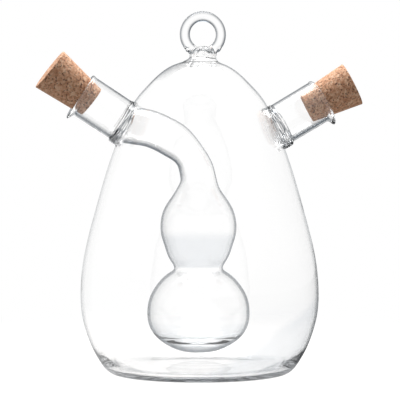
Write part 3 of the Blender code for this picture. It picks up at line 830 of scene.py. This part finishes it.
def flask_path(tube):
    """The flask's middle line from its bottom to the ring seal, as x, z and the length so far."""
    end = tube.origin - NECK_END * tube.way + NECK_LIFT * tube.up
    foot = FLASK_BOTTOM + GOURD_HEIGHT
    knots = [(FLASK_OFFSET, FLASK_BOTTOM + z * GOURD_HEIGHT) for _, z in UPPER_BULB_SHARES]
    knots.insert(0, (FLASK_OFFSET, FLASK_BOTTOM))
    run, rise = end[0] - FLASK_OFFSET, end[2] - foot
    neck = [(FLASK_OFFSET + x * run, foot + z * rise) for x, z, _ in NECK_PATH_SHARES]
    line = spline(knots + neck + [end[[0, 2]]], OUTLINE_STEP)
    along = steps_along(line)[1]
    heights = [z for _, z in neck] + [end[2]]
    radii = [share * NECK_RADIUS for _, _, share in NECK_PATH_SHARES] + [NECK_ROOT_RADIUS]
    places = np.interp(heights, line[:, 1], along)
    return np.column_stack((line, along)), list(zip(radii, places))


def flask_rings(tube, inside):
    """Rings of the flask from the ring seal down to the bottom's middle, and that middle."""
    path, neck = flask_path(tube)
    knots = [(r * LOWER_BULB_RADIUS, z * GOURD_HEIGHT) for r, z in LOWER_BULB_SHARES]
    knots.append((WAIST_RADIUS, WAIST_HEIGHT_SHARE * GOURD_HEIGHT))
    knots += [(r * UPPER_BULB_RADIUS, z * GOURD_HEIGHT) for r, z in UPPER_BULB_SHARES]
    outline = spline(knots + neck, OUTLINE_STEP)
    if inside:
        outline = inset(outline, FLASK_BASE_WALL, FLASK_WALL, FLASK_HEEL_HEIGHT)
        outline[0, 0] = 0.0
    surface = Turned(outline)
    rings = []
    for place in surface.rows()[-2:0:-1]:
        radius, length = surface.at(place)
        before, (x, z), after = (
            np.array([np.interp(at, path[:, 2], path[:, k]) for k in (0, 1)])
            for at in (length - FINE_STEP, length, length + FINE_STEP)
        )
        run, rise = after - before
        up = tube.side * np.array((-rise, 0.0, run)) / hypot(run, rise)
        rings.append(radius * circle(TURNS, tube.across, up) + (x, 0.0, z))
    return rings, (FLASK_OFFSET, 0.0, FLASK_BOTTOM + outline[0, 1])


def vessel_kind(place):
    x, y, z = place
    if z < PUNT_DEPTH + PUNT_RING_DEPTH and hypot(x, y) < PUNT_RADIUS:
        return PUNT
    return FOOT if z < FOOT_END else CROWN if z > CROWN_START else VESSEL


def finial_kind(place):
    x, y, z = place
    height = z - VESSEL_HEIGHT
    if height < FINIAL_START:
        return CROWN
    core = height < FINIAL_END and hypot(x - TIP_LEAN, y) < FINIAL_CORE_RADIUS
    return FINIAL if core or height < FINIAL_HEIGHT else TIP


def glass_mesh():
    skin = Skin()
    outline, inner_outline = vessel_outlines()
    inside = Turned(inner_outline)
    body = outline[np.argmax(outline[:, 0]):np.argmax(outline[:, 1] > VESSEL_HEIGHT)]
    left, right = Tube(body, *LEFT_SPOUT), Tube(body, *RIGHT_SPOUT)

    # The outside, from the foot up to the finial
    bead = BEAD_RADIUS + BEAD_FILLET
    shell = Turned(outline[outline[:, 1] <= VESSEL_HEIGHT + TIP_CUT - PATCH_ROW / 2])
    top, openings = turned_skin(skin, shell, VESSEL, [(left, bead), (right, bead)])
    skin.set_kinds(0, vessel_kind)
    mouths = []
    for tube, opening in zip((left, right), openings):
        last, height = beaded_root(skin, shell, tube, opening)
        first = len(skin.faces)
        mouths.append(skin.tube(mouth_rings(tube, height), SPOUT, last))
        lip = tube.length - LIP_LENGTH - LIP_RISE
        skin.set_kinds(
            first, lambda place: LIP if np.dot(place - tube.origin, tube.way) > lip else SPOUT
        )

    # The finial and the loop
    skin.points = [tuple(p) for p in leaned(skin.points)]
    rest = Turned(outline[outline[:, 1] > VESSEL_HEIGHT + TIP_CUT - TIP_OVERLAP])
    tip_rows = [
        leaned(rest.points(turns_of(COLUMNS), along))
        for along in np.linspace(0.0, rest.along[-1], TIP_ROWS)[:-1]
    ]
    first = len(skin.faces)
    edge = skin.add_mesh(tip_mesh(tip_rows), TIP)
    skin.set_kinds(first, finial_kind)
    zip_rings(skin, top, edge, CROWN)

    # The vessel's cavity, with the inner flask in it
    root = NECK_ROOT_RADIUS + BEAD_FILLET
    bore = ROOT_BORE_RADIUS + BORE_FILLET
    roof, holes = turned_skin(skin, inside, CAVITY, [(left, root), (right, bore)])
    skin.fan(roof, (0.0, 0.0, inner_outline[-1, 1]), CAVITY)
    rings, height = fillet(inside, right, ROOT_BORE_RADIUS, BORE_FILLET, BORE_FILLET)
    rings += bore_rings(right, height)
    last = skin.tube(rings, BORE, holes[1])
    skin.join(last, mouths[1], BORE)

    rings = fillet(inside, left, NECK_ROOT_RADIUS, BEAD_FILLET, -BEAD_FILLET)[0]
    outer_rings, tip = flask_rings(left, False)
    rings += between(rings[-1], outer_rings[0])
    last = skin.tube(rings + outer_rings, FLASK, holes[0])
    skin.fan(last, tip, FLASK)

    # The inner flask's cavity and the left bore
    inner_rings, tip = flask_rings(left, True)
    neck = NECK_ROOT_RADIUS - FLASK_WALL
    narrow = left.ring(neck, 0.0)
    first = skin.ring(narrow)
    rings = tube_run(
        left, 0.0, NECK_BORE_END, lambda share: blend(neck, ROOT_BORE_RADIUS, share)
    )
    rings += bore_rings(left, NECK_BORE_END)
    last = skin.tube(rings, BORE, first)
    skin.join(last, mouths[0], BORE)
    last = skin.tube(between(narrow, inner_rings[0]) + inner_rings, FLASK_INSIDE, first)
    skin.fan(last, tip, FLASK_INSIDE)
    return skin.to_mesh("fused_glass"), left, right


# Corks


def cork_radius_at(depth):
    """The cork's radius this far from its narrow end."""
    return CORK_END_RADIUS + (CORK_TOP_RADIUS - CORK_END_RADIUS) * depth / CORK_LENGTH


def pit_depth(place):
    """How deep the cork's surface is sunk at a place: fine grain, and a few torn pores."""
    grain = 0.5 + 0.5 * noise.noise(place * GRAIN_FREQUENCY)
    along = Vector((place.x, place.y, place.z * PORE_STRETCH))
    pores = noise.noise(along * PORE_FREQUENCY)
    pores += FINE_PORE_SHARE * noise.noise(along * PORE_FREQUENCY * FINE_PORE_RATIO)
    return GRAIN_DEPTH * grain + PORE_DEPTH * float(ease((pores - PORE_START) / PORE_RANGE))


def cork_mesh(name, depth, shift):
    """A tapered cork with worn edges, pitted all over; z = 0 is the plane of the mouth."""
    rounding = np.linspace(0.0, 0.5 * pi, CORK_EDGE_ROWS)
    outline = [
        ((CORK_END_RADIUS - CORK_EDGE) * share, 0.0)
        for share in np.linspace(CORK_MIDDLE_SHARE, 1.0, CORK_END_ROWS)[:-1]
    ]
    for t in rounding:
        radius = cork_radius_at(CORK_EDGE) - CORK_EDGE * (1 - sin(t))
        outline.append((radius, CORK_EDGE * (1 - cos(t))))
    for height in np.linspace(CORK_EDGE, CORK_LENGTH - CORK_EDGE, CORK_ROWS)[1:-1]:
        outline.append((cork_radius_at(height), height))
    for t in rounding[::-1]:
        radius = CORK_TOP_RADIUS - CORK_EDGE * (1 - sin(t))
        outline.append((radius, CORK_LENGTH - CORK_EDGE * (1 - cos(t))))
    for share in np.linspace(1.0, CORK_MIDDLE_SHARE, CORK_TOP_ROWS)[1:]:
        outline.append(((CORK_TOP_RADIUS - CORK_EDGE) * share, CORK_LENGTH))
    outline = np.array(outline)
    rings = []
    low = -depth
    shift = Vector((shift, 0.0, 0.0))
    for (radius, height), (run, rise) in zip(outline, directions(outline)):
        ring = []
        for turn in turns_of(CORK_SEGMENTS):
            place = Vector((radius * cos(turn), radius * sin(turn), height + low))
            out = Vector((rise * cos(turn), rise * sin(turn), -run))
            ring.append(place - (CORK_SKIN + pit_depth(place + shift)) * out)
        rings.append(ring)
    skin = Skin()
    first = skin.ring(rings[0])
    skin.fan(first, (0.0, 0.0, low + CORK_SKIN + GRAIN_DEPTH), 0)
    last = skin.tube(rings[1:], 0, first)
    skin.fan(last, (0.0, 0.0, CORK_LENGTH + low - CORK_SKIN - GRAIN_DEPTH), 0)
    return skin.to_mesh(name)


# Materials


class Tree:
    """The node tree of a material or world, emptied, to which nodes are added."""

    def __init__(self, owner):
        owner.use_nodes = True
        self.tree = owner.node_tree
        self.tree.nodes.clear()

    def add(self, kind, settings=(), **inputs):
        """Adds a node, sets its properties and sets or joins its inputs; returns its outputs."""
        node = self.tree.nodes.new(kind)
        for key, value in settings:
            setattr(node, key, value)
        for key, value in inputs.items():
            socket = node.inputs[int(key[1:]) if key[1:].isdigit() else key.replace("_", " ")]
            if isinstance(value, bpy.types.NodeSocket):
                self.tree.links.new(value, socket)
            else:
                socket.default_value = value
        return node.outputs

    def maths(self, operation, a, b, clamp=False):
        settings = [("operation", operation), ("use_clamp", clamp)]
        return self.add("ShaderNodeMath", settings, _0=a, _1=b)[0]

    def vector(self, operation, a, **others):
        return self.add("ShaderNodeVectorMath", [("operation", operation)], _0=a, **others)

    def dot(self, a, b):
        return self.vector("DOT_PRODUCT", a, _1=b)["Value"]

    def remap(self, value, to_low, to_high, low=0.0, high=1.0, kind="LINEAR"):
        return self.add(
            "ShaderNodeMapRange", [("interpolation_type", kind)], Value=value, From_Min=low,
            From_Max=high, To_Min=to_low, To_Max=to_high,
        )[0]

    def mix(self, share, a, b):
        return self.add("ShaderNodeMix", [("data_type", "RGBA")], _0=share, _6=a, _7=b)[2]

    def bump(self, height, strength, distance):
        return self.add("ShaderNodeBump", Strength=strength, Distance=distance, Height=height)[0]

    def glow(self, strength):
        return self.add("ShaderNodeEmission", Color=WHITE, Strength=strength)[0]

    def noise(self, place, scale, detail=1.0, roughness=0.5):
        return self.add(
            "ShaderNodeTexNoise", Vector=place, Scale=scale, Detail=detail, Roughness=roughness
        )[0]

    def ramp(self, share, stops):
        node = self.tree.nodes.new("ShaderNodeValToRGB")
        self.tree.links.new(share, node.inputs[0])
        elements = node.color_ramp.elements
        while len(elements) < len(stops):
            elements.new(0.5)
        for element, (place, colour) in zip(elements, stops):
            element.position = place
            element.color = (*colour, 1.0)
        return node.outputs[0]

    def any_ray(self, *names):
        """1 for rays of any of these kinds."""
        path = self.add("ShaderNodeLightPath")
        total = path[names[0]]
        for name in names[1:]:
            total = self.maths("MAXIMUM", total, path[name])
        return total

    def mirrored(self, place, start, end, tone):
        """1 for rays that were mirrored last, not let through glass, and each ray's tone, which
        for these falls towards SHADE_WAY."""
        path = self.add("ShaderNodeLightPath")
        last = self.maths("SUBTRACT", path["Is Glossy Ray"], path["Is Transmission Ray"], True)
        shade = self.remap(self.dot(place, SHADE_WAY), 1.0, tone, start, end, "SMOOTHSTEP")
        return last, self.remap(last, 1.0, shade)


def new_material(name):
    """A material, its empty node tree, and the place on the object."""
    material = bpy.data.materials.new(name)
    tree = Tree(material)
    return material, tree, tree.add("ShaderNodeTexCoord")["Object"]


def rim_ramp(tree, facing, tones):
    stops = []
    for at, tone in tones:
        lean = GLASS_COOLNESS * (1.0 - tone)
        stops.append((at, (tone - lean, tone, tone + lean)))
    return tree.ramp(facing, stops)


def turned_towards(tree, way):
    """How far the outside of the surface is turned towards a direction, seen from either side."""
    geometry = tree.add("ShaderNodeNewGeometry")
    sense = tree.remap(geometry["Backfacing"], 1.0, -1.0)
    return tree.maths("MULTIPLY", tree.dot(geometry["Normal"], way), sense)


def streaks(tree, place):
    """Fine lines round both spouts, as molten glass leaves them in a seal, darkened as painted
    shade.
    """
    parts = tree.add("ShaderNodeSeparateXYZ", Vector=place)
    out = tree.maths("ABSOLUTE", parts["X"], 0.0)
    mirrored = tree.add("ShaderNodeCombineXYZ", X=out, Z=parts["Z"])[0]
    along = tree.maths("MULTIPLY", tree.dot(mirrored, STREAK_WAY), STREAK_SCALE)
    spread = tree.vector("SCALE", place, Scale=STREAK_SPREAD)[0]
    parts = tree.add("ShaderNodeSeparateXYZ", Vector=spread)
    at = tree.add("ShaderNodeCombineXYZ", X=along, Y=parts["Y"], Z=parts["Z"])[0]
    return rim_ramp(tree, tree.noise(at, 1.0), STREAK_TONES)


def glass_material(
    kind, dark_tones, light_tones, light_way=FROM_ABOVE, change=NO_CHANGE, painted_reflection=NO_PAINTED_REFLECTION
):
    """Clear glass with painted shade: darker where it is seen edge on, and more so away from the
    light.

    It tints a ray only on its way in, and in the foot's pushed-up middle on its way out too. Light
    on its way to the corks and the floor passes through untinted.
    """
    material, tree, place = new_material("clear_glass_%d" % kind)
    height = tree.add("ShaderNodeSeparateXYZ", Vector=place)["Z"]
    side = tree.remap(turned_towards(tree, light_way), 0.0, 1.0, GLASS_DARK_SIDE, GLASS_LIGHT_SIDE)
    low, high, below, above = change
    ends = [tree.remap(side, base, base + share) for base, share in (below, above)]
    facing = tree.add("ShaderNodeLayerWeight")["Facing"]
    tint = tree.mix(
        tree.remap(height, *ends, low, high),
        rim_ramp(tree, facing, dark_tones), rim_ramp(tree, facing, light_tones),
    )
    # Painted reflection of a darker table: a grey haze on surfaces turned its way, gone high up
    painted_reflection_way, start, end, tone = painted_reflection
    reflection_tone = tree.remap(turned_towards(tree, painted_reflection_way), 1.0, tone, start, end, "SMOOTHSTEP")
    reflection_tone = tree.remap(height, reflection_tone, 1.0, PAINTED_REFLECTION_TOP, PAINTED_REFLECTION_TOP + PAINTED_REFLECTION_FADE)
    cool = tree.vector(
        "MULTIPLY_ADD", reflection_tone, _1=(1.0 + PAINTED_REFLECTION_COOLNESS, 1.0, 1.0 - PAINTED_REFLECTION_COOLNESS),
        _2=(-PAINTED_REFLECTION_COOLNESS, 0.0, PAINTED_REFLECTION_COOLNESS),
    )[0]
    tint = tree.vector("MULTIPLY", tint, _1=cool)[0]
    if kind == SEAL:
        tint = tree.vector("MULTIPLY", tint, _1=streaks(tree, place))[0]
    if kind != PUNT:
        tint = tree.mix(tree.add("ShaderNodeNewGeometry")["Backfacing"], tint, WHITE)
    bump = tree.bump(tree.noise(place, WAVE_SCALE), WAVE_STRENGTH, WAVE_HEIGHT)
    glass = tree.add(
        "ShaderNodeBsdfGlass", Color=tint, Roughness=0.0, IOR=GLASS_IOR, Normal=bump
    )[0]
    clear = tree.add("ShaderNodeBsdfTransparent")[0]
    passing = tree.any_ray("Is Shadow Ray", "Is Diffuse Ray")
    total = tree.add("ShaderNodeMixShader", _0=passing, _1=glass, _2=clear)[0]
    tree.add("ShaderNodeOutputMaterial", Surface=total)
    return material


def cork_material():
    """Natural cork: warm tan, mottled, with dark pores and fine grain."""
    material, tree, place = new_material("natural_cork")
    base = tree.ramp(tree.noise(place, *CORK_MOTTLE_NOISE), CORK_TONES)
    spots = tree.ramp(tree.noise(place, *CORK_PORE_NOISE), CORK_PORE_EDGE)
    colour = tree.mix(spots, base, (*CORK_PORE, 1.0))
    grain = tree.noise(place, *CORK_GRAIN_NOISE)
    bump = tree.bump(grain, CORK_BUMP_STRENGTH, CORK_BUMP_DEPTH)
    shader = tree.add(
        "ShaderNodeBsdfPrincipled", Base_Color=colour, Roughness=CORK_ROUGHNESS, Normal=bump
    )[0]
    tree.add("ShaderNodeOutputMaterial", Surface=shader)
    return material


# Floor, light and camera


def studio_world():
    """White for what the camera sees, also through the glass, and dimmer as a light.

    What the glass mirrors is greyer low on the right, as in a room that is darker there.
    """
    world = bpy.data.worlds.new("studio")
    bpy.context.scene.world = world
    tree = Tree(world)
    way = tree.add("ShaderNodeTexCoord")["Generated"]
    tone = tree.mirrored(way, *STUDIO_SHADE)[1]
    strength = tree.remap(tree.any_ray(*SEEN_RAYS), FILL_STRENGTH, tone)
    light = tree.add("ShaderNodeBackground", Color=WHITE, Strength=strength)[0]
    tree.add("ShaderNodeOutputWorld", Surface=light)


def pale_floor():
    """Pale round the cruet, with its shadow, and white further out."""
    half = 0.5 * FLOOR_WIDTH
    mesh = bpy.data.meshes.new("floor")
    corners = [(x * half, y * half, 0.0) for x, y in ((-1, -1), (1, -1), (1, 1), (-1, 1))]
    mesh.from_pydata(corners, [], [(0, 1, 2, 3)])
    floor = made_object("floor", mesh)
    floor.location.z = -FLOOR_GAP
    material, tree, place = new_material("pale_floor")
    distance = tree.vector("LENGTH", place)["Value"]
    far = tree.remap(distance, 0.0, 1.0, FLOOR_NEAR, FLOOR_FAR, "SMOOTHSTEP")
    # What the glass mirrors of the floor has a painted shadow, greyer towards SHADE_WAY
    mirrored, tone = tree.mirrored(place, *FLOOR_SHADE)
    seen = tree.any_ray(*SEEN_RAYS)
    lit = tree.add("ShaderNodeBsdfDiffuse", Color=(*FLOOR_COLOUR, 1.0))[0]
    glow = tree.glow(tree.maths("MULTIPLY", seen, FLOOR_GLOW))
    near = tree.add("ShaderNodeAddShader", _0=lit, _1=glow)[0]
    flat = tree.glow(tree.maths("MULTIPLY", seen, tone))
    share = tree.maths("MAXIMUM", far, mirrored)
    total = tree.add("ShaderNodeMixShader", _0=share, _1=near, _2=flat)[0]
    tree.add("ShaderNodeOutputMaterial", Surface=total)
    mesh.materials.append(material)


def aimed_object(name, data, place, target):
    """A lamp or a camera at a place, turned to look at a point."""
    piece = made_object(name, data)
    piece.location = place
    piece.rotation_euler = (Vector(target) - Vector(place)).to_track_quat("-Z", "Y").to_euler()
    return piece


def soft_box(name, place, target, width, height, power):
    """A rectangular studio light that faces a point."""
    lamp = bpy.data.lights.new(name, "AREA")
    lamp.shape = "RECTANGLE"
    lamp.size, lamp.size_y = width, height
    lamp.energy = power
    aimed_object(name, lamp, place, target)


def photo_camera():
    data = bpy.data.cameras.new("camera")
    data.lens = CAMERA_LENS
    data.sensor_width = CAMERA_SENSOR
    data.clip_start = CAMERA_CLIP
    place = Vector((-sin(CAMERA_YAW), -cos(CAMERA_YAW), 0.0)) * CAMERA_DISTANCE
    place.z = CAMERA_HEIGHT
    aim = Vector((CAMERA_AIM_SIDE, 0.0, CAMERA_HEIGHT - CAMERA_DISTANCE * tan(CAMERA_DROP)))
    bpy.context.scene.camera = aimed_object("camera", data, place, aim)


# The scene

mesh, left_tube, right_tube = glass_mesh()
for kind, rims in sorted(GLASS_RIMS.items()):
    mesh.materials.append(glass_material(kind, *rims))
glass = made_object("fused_glass", mesh)
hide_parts(*GLASS_NODES)
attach(glass, "glass")

cork = cork_material()
for name, tube, (depth, lift, turn, shift) in (
    ("left_cork", left_tube, LEFT_CORK), ("right_cork", right_tube, RIGHT_CORK)
):
    mesh = cork_mesh(name + "_natural", depth, shift)
    mesh.materials.append(cork)
    skew = Matrix.Rotation(-tube.side * lift, 4, "Y") @ Matrix.Rotation(turn, 4, "X")
    mesh.transform(tube.matrix @ Matrix.Translation((0.0, 0.0, tube.length)) @ skew)
    stopper = made_object(name + "_natural", mesh)
    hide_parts(name)
    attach(stopper, name)

studio_world()
pale_floor()
soft_box("key", *KEY_BOX)
photo_camera()

scene = bpy.context.scene
scene.view_settings.view_transform = "Standard"
scene.cycles.max_bounces = BOUNCES
scene.cycles.transmission_bounces = BOUNCES
scene.cycles.glossy_bounces = BOUNCES
scene.cycles.transparent_max_bounces = BOUNCES
